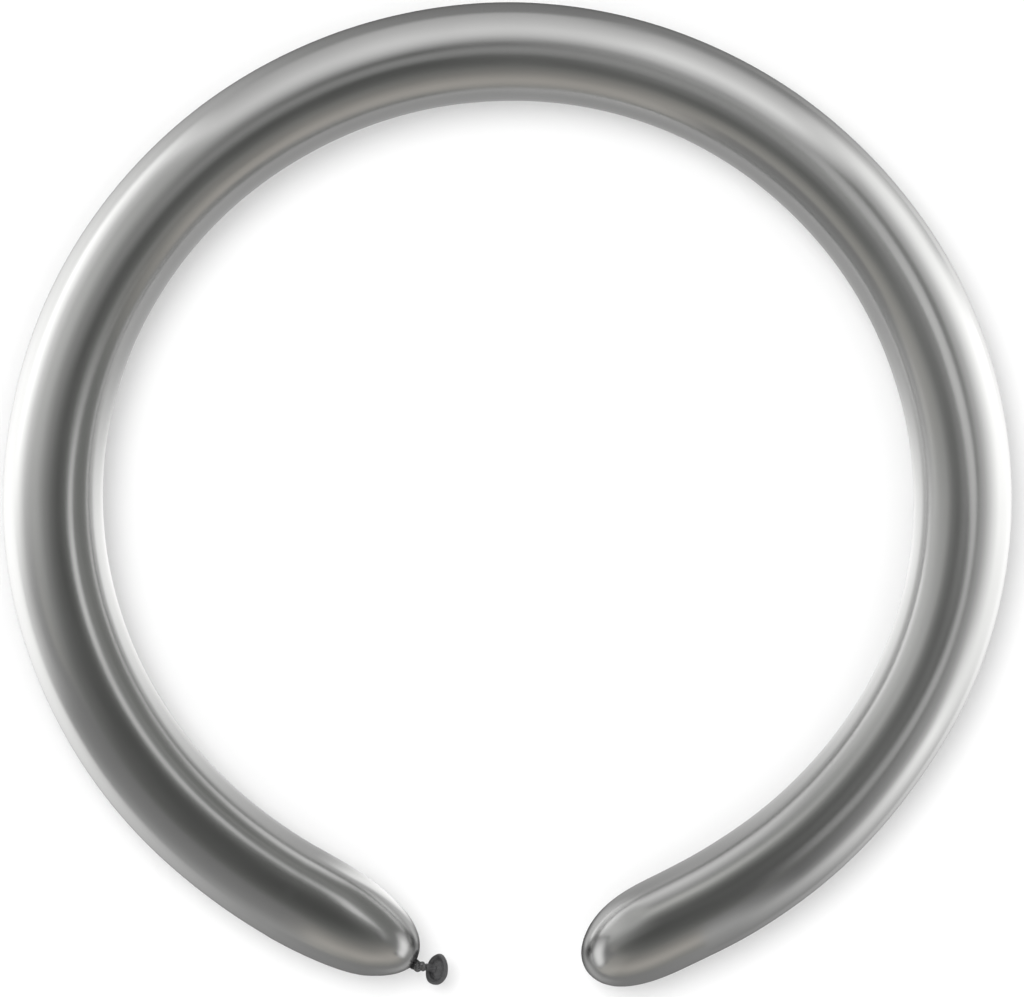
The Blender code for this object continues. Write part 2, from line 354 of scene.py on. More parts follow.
def make_tube(tube):
    """The blown-up film from inside the knot to the closed tip, with its pleats, and flat where it lies."""
    rows = ring_lengths()
    total = rows[-1][0]
    closer = [1 - math.cos(math.pi / 2 * i / tube.dome_sections) for i in range(1, tube.dome_sections)]
    tied, tip = TIED_DOME[0], TIP_DOME[0]
    plain = total - tip - tied - NECK_LENGTH
    count = round(plain / (tube.section_step / MM))
    distances = [-tube.neck_overlap / MM, -0.6, 0.0, 0.6, NECK_LENGTH]
    distances += [NECK_LENGTH + tied * part for part in closer]
    distances += [NECK_LENGTH + tied + plain * i / count for i in range(count + 1)]
    distances += [total - tip * part for part in reversed(closer)]

    bm = bmesh.new()
    straight = bm.verts.layers.float_vector.new("straight")
    slack = bm.verts.layers.float.new("slack")
    rings, notes = [], []
    for distance in distances:
        middle, inward, along, radius = ring_section(rows, distance)
        swell = radius * dome(distance - NECK_LENGTH, TIED_DOME) * dome(total - distance, TIP_DOME)
        near_neck = distance < tied
        # A soft fillet where the dome turns into the neck
        size = math.sqrt(swell**2 + NECK_RADIUS**2) if near_neck else swell
        if distance < 0:
            size *= 1 + 0.25 * distance / (tube.neck_overlap / MM)
        ring = []
        for i in range(tube.sides):
            angle = FULL_TURN * i / tube.sides
            out = inward * math.cos(angle) + UP * math.sin(angle)
            ring.append(middle + out * size)
            loose = math.exp(-(size - NECK_RADIUS) / (tube.pleat_reach / MM)) if near_neck else 0.0
            flow = Vector((radius * math.cos(angle), radius * math.sin(angle), distance))
            notes.append((flow, loose, angle))
        rings.append(ring)
    loops = loft(bm, rings)
    bmesh.ops.recalc_face_normals(bm, faces=bm.faces)
    bm.normal_update()
    moves = []
    for vert, (flow, loose, angle) in zip((v for loop in loops for v in loop), notes):
        vert[straight] = flow * MM
        vert[slack] = smooth(loose, 0.0, 0.9)
        pleat = 0.6 * math.cos(tube.pleats * angle) + 0.4 * math.cos((tube.pleats - 5) * angle + 1.3)
        wave = noise.noise(flow * Vector((1, 1, 1)) * (MM / tube.wave_length)) * tube.wave_depth / MM
        moves.append((vert, vert.normal * (pleat * loose * tube.pleat_depth / MM + wave)))
    for vert, move in moves:
        vert.co += move
    for vert in bm.verts:
        vert.co.z = max(vert.co.z, 0.0)  # the film lies flat on the floor
    return finish_mesh("envelope_skin", bm, metallised_latex((*tube.colour, 1), tube.roughness))


def strand_rings(points, radii, sides, gathers, depth, twist=0.0):
    """Rings round a line of points, with gathers along it and no twist but what is asked for."""
    rings = []
    side = None
    for i, (point, radius) in enumerate(zip(points, radii)):
        ahead = (points[min(i + 1, len(points) - 1)] - points[max(i - 1, 0)]).normalized()
        if side is None:
            side = ahead.orthogonal().normalized()
        side = (side - ahead * side.dot(ahead)).normalized()
        other = ahead.cross(side)
        ring = []
        for j in range(sides):
            angle = FULL_TURN * j / sides
            turned = angle + twist * i / len(points)
            fold = 0.65 * math.cos(gathers * turned) + 0.35 * math.cos((gathers - 3) * turned + 0.9 + 0.15 * i)
            ring.append(point + (side * math.cos(angle) + other * math.sin(angle)) * radius * (1 + depth * fold))
        rings.append(ring)
    return rings


def knot_curve(t):
    """A point of the curve that an overhand knot follows. It lies nearly flat in the first two directions."""
    return Vector((
        math.sin(t) + 2 * math.sin(2 * t),
        math.cos(t) - 2 * math.cos(2 * t),
        -KNOT_RISE * math.sin(3 * t),
    ))


def knot_route(count):
    """Points of the gathered neck from inside the tube, through the knot, to the hinge."""
    start, _, inward, _ = ring_section(ring_lengths(), 0.0)
    forward = (HINGE - start).normalized()
    level = UP.cross(forward).normalized()
    lean = Matrix.Rotation(math.radians(KNOT_LEAN), 3, forward)
    rise = lean @ forward.cross(level)
    side = rise.cross(forward)
    turn = Matrix((forward, rise, side)).transposed() * KNOT_UNIT
    middle = (start + HINGE) / 2 - forward * KNOT_BACK + rise * KNOT_LIFT * KNOT_UNIT
    angles = [KNOT_REACH * (1 - 2 * i / (count - 1)) for i in range(count)]
    lump = [middle + turn @ knot_curve(t) for t in angles]
    entry = start - inward * 0.5
    leave = HINGE - TAIL_AXIS * 1.5
    up = (lump[1] - lump[0]).normalized()
    down = (lump[-1] - lump[-2]).normalized()
    lead_in = interpolate_bezier(entry, entry - inward * KNOT_TURN, lump[0] - up * KNOT_TURN, lump[0], 12)
    lead_out = interpolate_bezier(
        lump[-1], lump[-1] + down * KNOT_TURN, leave - TAIL_AXIS * KNOT_TURN, leave, 12
    )
    plug = [start + inward * step for step in (2.0, 1.3, 0.6, 0.0)]
    return plug + lead_in[:-1] + lump + lead_out[1:] + [HINGE - TAIL_AXIS * 0.7, HINGE]


def make_knot(knot):
    """The overhand knot: one gathered strand pulled tight, so that its turns press into each other."""
    points = knot_route(120)
    thick = knot.strand_radius / MM
    radii = []
    for i in range(len(points)):
        from_neck = smooth(i, 2, 14)
        radii.append(2.3 * (1 - from_neck) + thick * from_neck)
    bm = bmesh.new()
    loft(bm, strand_rings(points, radii, 48, knot.gathers, knot.gather_depth, twist=2.0))
    bmesh.ops.recalc_face_normals(bm, faces=bm.faces)
    rough = bpy.data.meshes.new("knot_strand")
    bm.to_mesh(rough)
    bm.free()
    strand = bpy.data.objects.new("knot_strand", rough)
    bpy.context.collection.objects.link(strand)
    press = strand.modifiers.new("press", "REMESH")
    press.mode = "VOXEL"
    press.voxel_size = knot.voxel / MM  # the strand is still in millimetres here
    ease = strand.modifiers.new("ease", "SMOOTH")
    ease.factor = 0.5
    ease.iterations = 2
    shown = strand.evaluated_get(bpy.context.evaluated_depsgraph_get())
    bm = bmesh.new()
    bm.from_mesh(shown.to_mesh())
    shown.to_mesh_clear()
    bpy.data.objects.remove(strand)
    material = latex_at_rest("latex_at_rest_knotted", linear("#1e1e1f"), linear("#929293"), 0.24, metallic=0.85)
    return finish_mesh("knot_skin", bm, material)


def tail_frame():
    """(sideways, upwards) of the mouth's plane: sideways is level, and upwards is the part of it nearest to up."""
    sideways = UP.cross(TAIL_AXIS).normalized()
    return sideways, TAIL_AXIS.cross(sideways)


def make_neck_stem(tail):
    """The gathered neck from inside the knot to the back of the mouth."""
    points, radii = [], []
    steps = 40
    for i in range(steps + 1):
        part = i / steps
        along = -1.9 + (STEM_LENGTH + 2.3) * part
        points.append(HINGE + TAIL_AXIS * along)
        widen = 0.55 * smooth(part, 0.7, 1.0) - 0.6 * (1 - smooth(part, 0.0, 0.3))
        radii.append(tail.stem_radius / MM + widen)
    bm = bmesh.new()
    loft(bm, strand_rings(points, radii, 72, tail.stem_gathers, tail.gather_depth, twist=0.9))
    material = latex_at_rest("latex_at_rest_neck", linear("#38383a"), linear("#5c5c5d"), 0.36)
    return finish_mesh("neck_stem_skin", bm, material)


def fold_of(angle, tail):
    """How deep the mouth's film is folded at this angle round it, from -1 to 1."""
    return 0.6 * math.cos(tail.mouth_folds * angle + 0.4) + 0.4 * math.cos((tail.mouth_folds - 2) * angle + 2.1)


def make_mouth_flare(tail):
    """The film that opens out from the neck to the rolled lip, thin, with soft folds running to the neck."""
    sideways, upwards = tail_frame()
    back = STEM_LENGTH + 0.3
    rim = (tail.lip_radius - tail.bead_radius) / MM + 0.5
    profile = [
        (back - 0.5, 1.2), (back, 2.0), (back + 0.5, 2.4), (back + 1.05, 3.1), (back + 1.45, 3.9),
        (TAIL_LENGTH - 0.4, 4.7), (TAIL_LENGTH - 0.3, rim), (TAIL_LENGTH + 0.3, rim),
        (TAIL_LENGTH + 0.05, 4.6), (TAIL_LENGTH - 0.2, 3.7), (TAIL_LENGTH - 0.7, 2.6), (TAIL_LENGTH - 1.1, 1.3),
    ]
    sides = 120
    rings = []
    for along, radius in profile:
        ring = []
        for i in range(sides):
            angle = FULL_TURN * i / sides
            held = smooth(radius, 1.0, 3.2) * (1 - 0.75 * smooth(radius, 3.4, rim))
            tuck = math.exp(-(((angle - TUCK_AT) / 0.85) ** 2)) * smooth(radius, 1.8, 2.8) * (1 - smooth(radius, 4.5, rim))
            lift = (fold_of(angle, tail) * held + 2.5 * tuck) * tail.fold_depth / MM
            out = sideways * math.cos(angle) + upwards * math.sin(angle)
            ring.append(HINGE + TAIL_AXIS * (along + lift) + out * radius)
        rings.append(ring)
    bm = bmesh.new()
    loft(bm, rings)
    material = latex_at_rest("latex_at_rest_mouth", linear("#3c3c3d"), linear("#686869"), 0.4)
    obj = finish_mesh("mouth_flare_skin", bm, material)
    rounded = obj.modifiers.new("rounded", "SUBSURF")
    rounded.levels = rounded.render_levels = 2
    return obj


def make_rolled_lip(tail):
    """The bead round the mouth: film rolled on itself, a little out of round, with the roll's edge showing inside."""
    sideways, upwards = tail_frame()
    around, across = 160, 40
    rings = []
    for i in range(around):
        angle = FULL_TURN * i / around
        out = sideways * math.cos(angle) + upwards * math.sin(angle)
        major = tail.lip_radius / MM * (1 + 0.02 * math.cos(2 * angle + 0.7) + 0.008 * math.cos(5 * angle))
        lift = 0.28 * math.cos(2 * angle + 1.9) + 0.1 * math.cos(3 * angle)
        thick = tail.bead_radius / MM * (1 + 0.05 * math.cos(3 * angle + 0.5) + 0.03 * math.cos(7 * angle))
        middle = HINGE + TAIL_AXIS * (TAIL_LENGTH + lift) + out * major
        ring = []
        for j in range(across):
            turn = FULL_TURN * j / across
            seam = math.exp(-(((turn - 2.5) / 0.3) ** 2)) + 0.5 * math.exp(-(((turn - 4.1) / 0.25) ** 2))
            size = thick * (1 - 0.13 * seam)
            ring.append(middle + (out * math.cos(turn) + TAIL_AXIS * math.sin(turn)) * size)
        rings.append(ring)
    bm = bmesh.new()
    loft(bm, rings + rings[:1], close_start=False, close_end=False)
    bmesh.ops.remove_doubles(bm, verts=bm.verts, dist=1e-6)
    material = latex_at_rest("latex_at_rest_rolled", linear("#3c3c3d"), linear("#666667"), 0.36)
    return finish_mesh("rolled_lip_skin", bm, material)


# Settings -----------------------------------------------------------------------------------------------------------


class BalloonTubeSettings(bpy.types.PropertyGroup):
    colour: FloatVectorProperty(
        name="Film colour", description="Colour of the metallised film where it is blown up", subtype="COLOR",
        size=3, min=0, max=1, default=linear("#bcbcbb")[:3],
    )
    roughness: FloatProperty(
        name="Blur", description="How much the film blurs what it mirrors", subtype="FACTOR", min=0.05, max=1,
        default=0.22,
    )
    sides: IntProperty(
        name="Sides", description="Points round each section of the tube", min=24, max=192, default=120
    )
    section_step: FloatProperty(
        name="Section step", description="Distance between sections on the plain part", unit="LENGTH",
        min=0.001, max=0.02, default=0.0034,
    )
    dome_sections: IntProperty(
        name="Dome sections", description="Sections in each rounded end", min=12, max=80, default=44
    )
    neck_overlap: FloatProperty(
        name="Neck overlap", description="How far the film goes on into the knot", unit="LENGTH",
        min=0.0005, max=0.003, default=0.0014,
    )
    pleats: IntProperty(name="Pleats", description="Pleats gathered into the neck", min=6, max=30, default=17)
    pleat_depth: FloatProperty(
        name="Pleat depth", description="Depth of the pleats at the neck", unit="LENGTH", min=0, max=0.001,
        default=0.00034,
    )
    pleat_reach: FloatProperty(
        name="Pleat reach", description="How far out from the neck the pleats fade", unit="LENGTH",
        min=0.0005, max=0.01, default=0.0024,
    )
    wave_length: FloatProperty(
        name="Wave length", description="Length of the slow swellings along the tube", unit="LENGTH",
        min=0.01, max=0.5, default=0.055,
    )
    wave_depth: FloatProperty(
        name="Wave depth", description="Height of those swellings", unit="LENGTH", min=0, max=0.001,
        default=0.00014,
    )


class BalloonKnotSettings(bpy.types.PropertyGroup):
    strand_radius: FloatProperty(
        name="Strand radius", description="Radius of the gathered film in the knot", unit="LENGTH",
        min=0.0008, max=0.002, default=0.00142,
    )
    gathers: IntProperty(name="Gathers", description="Folds round the strand", min=4, max=14, default=8)
    gather_depth: FloatProperty(
        name="Gather depth", description="Depth of those folds, as a share of the radius", subtype="FACTOR",
        min=0, max=0.4, default=0.08,
    )
    voxel: FloatProperty(
        name="Fineness", description="Size of the cells in which the pressed strand is made", unit="LENGTH",
        min=0.00005, max=0.0005, default=0.0001,
    )


class BalloonTailSettings(bpy.types.PropertyGroup):
    stem_radius: FloatProperty(
        name="Neck radius", description="Radius of the gathered neck behind the knot", unit="LENGTH",
        min=0.001, max=0.003, default=0.0018,
    )
    stem_gathers: IntProperty(name="Neck gathers", description="Folds round the neck", min=4, max=14, default=8)
    gather_depth: FloatProperty(
        name="Gather depth", description="Depth of the folds, as a share of the radius", subtype="FACTOR",
        min=0, max=0.4, default=0.06,
    )
    lip_radius: FloatProperty(
        name="Lip radius", description="From the mouth's middle to the middle of the bead", unit="LENGTH",
        min=0.004, max=0.01, default=0.0067,
    )
    bead_radius: FloatProperty(
        name="Bead radius", description="Radius of the rolled bead", unit="LENGTH", min=0.0005, max=0.002,
        default=0.00142,
    )
    mouth_folds: IntProperty(name="Mouth folds", description="Folds round the mouth", min=3, max=14, default=7)
    fold_depth: FloatProperty(
        name="Fold depth", description="Depth of the mouth's folds", unit="LENGTH", min=0, max=0.001,
        default=0.0004,
    )


class BalloonStageSettings(bpy.types.PropertyGroup):
    floor_size: FloatProperty(
        name="Floor size", description="Side of the square floor", unit="LENGTH", min=1, max=20, default=8
    )
    floor_colour: FloatVectorProperty(
        name="Floor colour", description="Colour of the board", subtype="COLOR", size=3, min=0, max=1,
        default=linear("#f4f4f4")[:3],
    )
    fill: FloatProperty(name="Fill light", description="Even light from all round", min=0, max=3, default=1.02)
    key: FloatProperty(
        name="Key light", description="Strength of the broad light from the upper left", min=0, max=20, default=1.06
    )
    camera_height: FloatProperty(
        name="Camera height", description="From the tube's middle height to the camera", unit="LENGTH",
        min=0.5, max=30, default=12.0,
    )


# Stage --------------------------------------------------------------------------------------------------------------

# What the film mirrors is a small studio round the ring. Its cards and lamps show in the film alone, so the board that
# the ring lies on stays plain and pale. Distances are millimetres, and bearings go clockwise from +Y.
#   card: (height from the board, brightness)
CARDS = {
    "back": (
        (0, 0.70), (22, 0.73), (73, 0.84), (122, 0.96), (183, 1.12), (255, 1.02), (343, 0.78), (420, 0.55), (600, 0.25),
    ),
    "back_right": (
        (0, 0.32), (21, 0.42), (39, 0.78), (55, 0.92), (72, 1.12), (91, 1.33), (119, 1.06), (165, 0.73), (200, 0.45),
    ),
    "right_back": (
        (0, 0.7), (21, 1.1), (39, 1.6), (55, 1.5), (70, 1.15), (87, 0.78), (100, 0.66), (109, 0.58), (118, 0.5),
    ),
    "right": (
        (0, 1.9), (21, 1.92), (39, 1.9), (55, 1.47), (70, 1.08), (87, 0.7), (100, 0.6), (109, 0.55), (118, 0.5),
    ),
    "right_front": (
        (0, 0.9), (15, 1.2), (28, 1.6), (42, 1.9), (52, 1.6), (60, 0.95), (75, 0.6), (95, 0.5), (118, 0.4),
    ),
    "front": (
        (0, 0.35), (15, 0.4), (28, 0.45), (42, 0.5), (52, 0.55), (60, 0.58), (75, 0.5), (95, 0.38), (118, 0.3),
    ),
    "left": (
        (0, 2.2), (20, 2.2), (40, 2.2), (60, 2.0), (84, 1.75), (118, 1.4), (152, 1.05), (190, 0.95), (236, 0.85),
    ),
    "front_left": (
        (0, 0.5), (20, 0.5), (45, 0.47), (73, 0.44), (140, 0.35), (212, 0.32), (260, 0.3), (305, 0.29), (420, 0.27),
    ),
}
# The cards in one closed row: bearing, distance from the ring's middle, card, and share of its brightness
CARD_ROW = (
    (205, 520, "front_left", 1.0), (243, 520, "front_left", 1.0), (251, 500, "left", 0.45), (258, 500, "left", 0.5),
    (270, 500, "left", 0.83), (285, 500, "left", 1.12), (300, 500, "left", 1.03), (314, 500, "left", 0.8),
    (324, 430, "back", 0.92), (345, 430, "back", 1.0), (360, 430, "back", 1.0), (367, 430, "back", 1.03),
    (378, 300, "back_right", 0.97), (396, 300, "back_right", 1.03), (408, 300, "right_back", 0.95),
    (420, 300, "right_back", 1.1), (432, 300, "right", 1.13), (450, 300, "right", 1.0), (465, 300, "right", 0.83),
    (480, 300, "right_front", 0.88), (492, 300, "right_front", 0.62), (502, 300, "right_front", 0.42),
    (512, 300, "front", 1.0), (516, 300, "front", 1.0),
)
CARD_STEP = 2  # degrees of bearing between a card's points
SCRIM_HEIGHT = 600  # of the one over the tube itself
SCRIM_RINGS = ((140, 0.0), (190, 0.7), (236, 1.0), (300, 1.0), (340, 0.5), (390, 0.0))  # radius, share of its brightness
SCRIM_LEVEL = 0.14
SCRIM_SLOPE = 0.18
SCRIM_BEARING = 25  # where it is brighter
# Other thin lit cloths: name, height, (distance from the ring's middle, brightness), (bearing, share of it)
CLOTHS = (
    (
        "left_cloth", 900,
        ((200, 0.0), (288, 0.08), (463, 0.2), (663, 0.3), (799, 0.4), (1101, 0.5), (1500, 0.52), (1700, 0.5)),
        ((243, 0.0), (255, 0.22), (270, 0.72), (285, 1.0), (300, 0.85), (315, 0.6), (330, 0.3), (342, 0.0)),
    ),
    (
        "crown_cloth", 300,
        ((110, 0.0), (150, 0.13), (190, 0.16), (212, 0.14), (226, 0.05), (234, 0.0)),
        ((3, 0.0), (15, 0.8), (30, 1.0), (60, 0.9), (80, 0.35), (95, 0.0)),
    ),
)
# A small card stands between the ring's two ends, square across the gap.
#   y, share of its brightness; height, brightness
GAP_CARD = (((-300, 0.3), (-280, 1.0), (-240, 1.0), (-212, 0.3)), ((36, 0.3), (46, 1.25), (60, 1.35), (78, 0.1)))
STRIP_LIGHT = (
    (3, 640, 980, 0.2), (12, 640, 980, 0.4), (26, 630, 1000, 0.48), (45, 650, 1000, 0.7), (60, 590, 1078, 0.92),
    (75, 610, 1054, 0.92), (90, 675, 975, 0.92), (105, 655, 770, 0.85), (120, 495, 560, 0.65), (135, 440, 480, 0.5),
    (148, 430, 480, 0.0),
)  # bearing, distance from the ring's middle, height, brightness
STRIP_WIDTH = 0.46  # as a share of its height
STRIP_TILT = 25  # degrees from level, its outer edge up
RING_MIDDLE = 236  # from the ring's middle to the tube's line
BOARD_RINGS = (0, 40, 80, 120, 160, 190, 198, 205, 212, 220, 228, 236, 247, 257, 267, 282, 310, 350, 400, 460, 540)
# The room behind the cards, as parts that add up: a bearing, half its width, its soft edge, its colour, and how bright
# it is at angles from the zenith, all in degrees
ROOM = (
    ("room", 0, 180, 0, "#fdfffb", ((0, 0.09), (12, 0.1), (24, 0.14), (36, 0.2), (60, 0.24), (90, 0.3), (180, 0.3))),
    ("left_wall", 285, 30, 18, "#ffffff", (
        (4, 0.0), (10, 0.07), (24, 0.12), (36, 0.16), (49, 0.1), (60, 0.05), (67, 0.5), (72, 0.6), (180, 0.6),
    )),
    ("right_wall", 75, 35, 15, "#ffffff", ((30, 0.0), (38, 0.08), (50, 0.05), (70, 0.0), (180, 0.0))),
    ("back_wall", 346, 20, 10, "#fffffa", ((18, 0.0), (28, 0.06), (40, 0.3), (62, 0.42), (90, 0.35), (180, 0.3))),
    ("front_wall", 162, 35, 18, "#fff4ea", (
        (33, 0.0), (49, 0.12), (62, 0.26), (72, 0.36), (80, 0.3), (90, 0.14), (100, 0.08), (180, 0.0),
    )),
    ("front_left_wall", 228, 25, 15, "#fff8f0", ((36, 0.0), (49, 0.2), (62, 0.28), (77, 0.35), (180, 0.3))),
)


def between(rows, place):
    """The value at this place, on straight lines between rows of (place, value)."""
    for (before, low), (after, high) in zip(rows, rows[1:]):
        if place <= after:
            return low + (high - low) * max(0.0, place - before) / (after - before)
    return rows[-1][1]


def room_part(tree, zenith, flat, colour_so_far, part):
    """Adds one part of the room to the colour so far."""
    _, bearing, half, soft, tint, profile = part
    by_height = add_node(tree, "ShaderNodeFloatCurve", {"Value": zenith})
    curve = by_height.mapping.curves[0]
    points = [(angle / 180, level) for angle, level in profile]
    while len(curve.points) < len(points):
        curve.points.new(0.5, 0.5)
    for place, (angle, level) in zip(curve.points, points):
        place.location = (angle, level)
        place.handle_type = "AUTO_CLAMPED"
    by_height.mapping.extend = "HORIZONTAL"
    by_height.mapping.update()
    seen = by_height.outputs[0]
    if half < 180:
        towards = (math.sin(math.radians(bearing)), math.cos(math.radians(bearing)), 0)
        facing = add_node(tree, "ShaderNodeVectorMath", {0: flat, 1: towards}, operation="DOT_PRODUCT")
        across = add_node(
            tree, "ShaderNodeMapRange",
            {
                "Value": facing.outputs["Value"],
                "From Min": math.cos(math.radians(half + soft)),
                "From Max": math.cos(math.radians(half - soft)),
            },
            interpolation_type="SMOOTHSTEP",
        )
        seen = add_node(tree, "ShaderNodeMath", {0: seen, 1: across.outputs[0]}, operation="MULTIPLY").outputs[0]
    return add_node(
        tree, "ShaderNodeVectorMath", {0: seen, 1: linear(tint)[:3], 2: colour_so_far}, operation="MULTIPLY_ADD"
    ).outputs[0]


def make_world(stage):
    """Even white light on everything, and the room behind the cards for what is mirrored."""
    world = bpy.data.worlds.new("studio")
    world.use_nodes = True
    bpy.context.scene.world = world
    tree = world.node_tree
    tree.nodes.clear()
    direction = add_node(tree, "ShaderNodeTexCoord").outputs["Generated"]
    parts = add_node(tree, "ShaderNodeSeparateXYZ", {0: direction})
    angle = add_node(tree, "ShaderNodeMath", {0: parts.outputs["Z"]}, operation="ARCCOSINE")
    zenith = add_node(tree, "ShaderNodeMath", {0: angle.outputs[0], 1: math.pi}, operation="DIVIDE").outputs[0]
    level = add_node(tree, "ShaderNodeCombineXYZ", {"X": parts.outputs["X"], "Y": parts.outputs["Y"]})
    flat = add_node(tree, "ShaderNodeVectorMath", {0: level.outputs[0]}, operation="NORMALIZE").outputs[0]
    colour = add_node(tree, "ShaderNodeCombineXYZ").outputs[0]
    for part in ROOM:
        colour = room_part(tree, zenith, flat, colour, part)
    mirrored = add_node(tree, "ShaderNodeBackground", {"Color": colour, "Strength": 1.0})
    even = add_node(tree, "ShaderNodeBackground", {"Color": (1, 1, 1, 1), "Strength": stage.fill})
    kind = add_node(tree, "ShaderNodeLightPath")
    in_film = add_node(
        tree, "ShaderNodeMath", {0: kind.outputs["Is Glossy Ray"], 1: kind.outputs["Diffuse Depth"]},
        operation="SUBTRACT", use_clamp=True,
    )
    both = add_node(
        tree, "ShaderNodeMixShader", {0: in_film.outputs[0], 1: even.outputs[0], 2: mirrored.outputs[0]}
    )
    add_node(tree, "ShaderNodeOutputWorld", {"Surface": both.outputs[0]})


def lit_material(name, see_through):
    """A lit card or cloth, as bright as each of its points says. A cloth only adds to what is behind it."""
    material = bpy.data.materials.new(name)
    material.use_nodes = True
    tree = material.node_tree
    tree.nodes.clear()
    lit = add_node(tree, "ShaderNodeAttribute", attribute_name="lit").outputs["Fac"]
    surface = add_node(tree, "ShaderNodeEmission", {"Strength": lit}).outputs[0]
    clear = add_node(tree, "ShaderNodeBsdfTransparent").outputs[0]
    if see_through:
        surface = add_node(tree, "ShaderNodeAddShader", {0: surface, 1: clear}).outputs[0]
    # Light that goes on from the film to the board comes from the even white, so the shadows are the same all round.
    onward = add_node(tree, "ShaderNodeLightPath").outputs["Diffuse Depth"]
    surface = add_node(tree, "ShaderNodeMixShader", {0: onward, 1: surface, 2: clear}).outputs[0]
    add_node(tree, "ShaderNodeOutputMaterial", {"Surface": surface})
    return material


def place_lit(name, rows, see_through=False):
    """A part of the studio that shows in the film alone, from rows of (point, brightness)."""
    bm = bmesh.new()
    lit = bm.verts.layers.float.new("lit")
    grid = []
    for row in rows:
        grid.append([bm.verts.new(point) for point, _ in row])
        for vert, (_, level) in zip(grid[-1], row):
            vert[lit] = level
    for a, b in zip(grid, grid[1:]):
        for i in range(len(a) - 1):
            bm.faces.new((a[i], a[i + 1], b[i + 1], b[i]))
    obj = finish_mesh(name, bm, lit_material(name, see_through))
    obj.visible_camera = obj.visible_diffuse = obj.visible_transmission = obj.visible_shadow = False


def at_bearing(bearing, distance, height=0.0):
    angle = math.radians(bearing)
    return Vector((math.sin(angle) * distance, math.cos(angle) * distance, height))


def make_cards():
    """The lit cards round the ring, joined so that each turns into the next."""
    rows = [[] for _ in CARDS["back"]]
    for before, after in zip(CARD_ROW, CARD_ROW[1:]):
        steps = math.ceil((after[0] - before[0]) / CARD_STEP)
        for step in range(steps + (after is CARD_ROW[-1])):
            part = step / steps
            bearing = before[0] + (after[0] - before[0]) * part
            distance = before[1] + (after[1] - before[1]) * part
            for row, (low, dim), (high, bright) in zip(rows, CARDS[before[2]], CARDS[after[2]]):
                height = low + (high - low) * part
                level = dim * before[3] + (bright * after[3] - dim * before[3]) * part
                row.append((at_bearing(bearing, distance, height), level))
    place_lit("cards", rows)
    across, heights = GAP_CARD
    place_lit("gap_card", [[(Vector((-2, y, height)), level * share) for y, share in across] for height, level in heights])


def make_cloths():
    """The lit cloth over the ring, brighter towards the back, and the smaller ones."""
    rows = []
    for radius, share in SCRIM_RINGS:
        row = []
        for bearing in range(0, 361, 10):
            slope = math.cos(math.radians(bearing - SCRIM_BEARING)) * radius / RING_MIDDLE
            level = max(0.0, SCRIM_LEVEL + SCRIM_SLOPE * slope) * share
            row.append((at_bearing(bearing, radius, SCRIM_HEIGHT), level))
        rows.append(row)
    place_lit("scrim", rows, see_through=True)
    for name, height, distances, shares in CLOTHS:
        bearings = range(shares[0][0], shares[-1][0] + 1, 3)
        rows = [
            [(at_bearing(b, distance, height), level * between(shares, b)) for b in bearings]
            for distance, level in distances
        ]
        place_lit(name, rows, see_through=True)


def make_strip_light():
    """A long narrow lamp high on the right, which shows as a thin line along the tube."""
    points = [at_bearing(*place[:3]) for place in STRIP_LIGHT]
    rows = []
    for i, (point, (_, _, height, level)) in enumerate(zip(points, STRIP_LIGHT)):
        ahead = (points[min(i + 1, len(points) - 1)] - points[max(i - 1, 0)]).normalized()
        outward = UP.cross(ahead).normalized()
        across = Matrix.Rotation(math.radians(STRIP_TILT), 3, outward.cross(UP)) @ outward
        across *= height * STRIP_WIDTH / 2
        rows.append([(point - across, level), (point + across, level)])
    place_lit("strip_light", rows)


def board_level(radius, bearing):
    """How bright the board is painted where the film mirrors it: a painted pool of light towards the side cards,
    painted bright patches in the gap and by the neck, and painted shade where the tube keeps light off it.
    """
    angle = math.radians(bearing)
    side = abs(math.sin(angle))
    away = abs(radius - RING_MIDDLE)
    past_end = min(bearing - RING[-1][0] + 360, RING[0][0] - bearing)  # degrees into the gap
    if past_end > 0:
        away = math.hypot(away, math.radians(past_end) * radius)
    # Painted bright patch in the gap between the ends, which puts a painted highlight on both rounded ends
    gap = smooth(bearing, 168, 176) * (1 - smooth(bearing, 186, 194)) * smooth(radius, 120, 170)
    if radius < RING_MIDDLE:
        level = 0.5 + 1.1 * side**3 * (1 - 0.85 * smooth(math.cos(angle), -0.2, 0.45))
        level = 0.6 + (level - 0.6) * (smooth(radius, 0, 100) if bearing > 180 else smooth(radius, 50, 140))
        # Painted bright patch inside the ring by the neck, which puts a painted highlight on the tied end
        by_neck = smooth(bearing, 184, 191) * (1 - smooth(bearing, 194, 208)) * smooth(radius, 70, 120)
        level += max(0.3 * gap, 1.1 * by_neck)
        # Painted shade in the reflection beside the tube
        return level * (0.2 + 0.8 * smooth(away, 16 - 5 * by_neck, 36 - 5 * by_neck))
    level = 0.34 + 1.66 * side ** (3 if 270 < bearing % 360 else 3.5) + 0.3 * gap * (1 - smooth(radius, 280, 350))
    return level * (0.2 + 0.8 * smooth(away, 10, 60))


def make_mirrored_board():
    """A glowing sheet under the floor that shows in the film alone: the board's painted reflection, with its painted
    light and shade.
    """
    rows = []
    for radius in BOARD_RINGS:
        rows.append([
            (at_bearing(bearing, max(radius, 1), -1.0), board_level(radius, bearing)) for bearing in range(0, 361, 3)
        ])
    place_lit("mirrored_board", rows)


def make_floor(stage):
    """The pale board that the ring lies on. The film mirrors the studio in its place."""
    half = stage.floor_size / 2 / MM
    bm = bmesh.new()
    corners = [bm.verts.new((x * half, y * half, 0)) for x, y in ((-1, -1), (1, -1), (1, 1), (-1, 1))]
    bm.faces.new(corners)
    floor = finish_mesh("floor", bm, matte_board((*stage.floor_colour, 1)))
    floor.visible_glossy = False


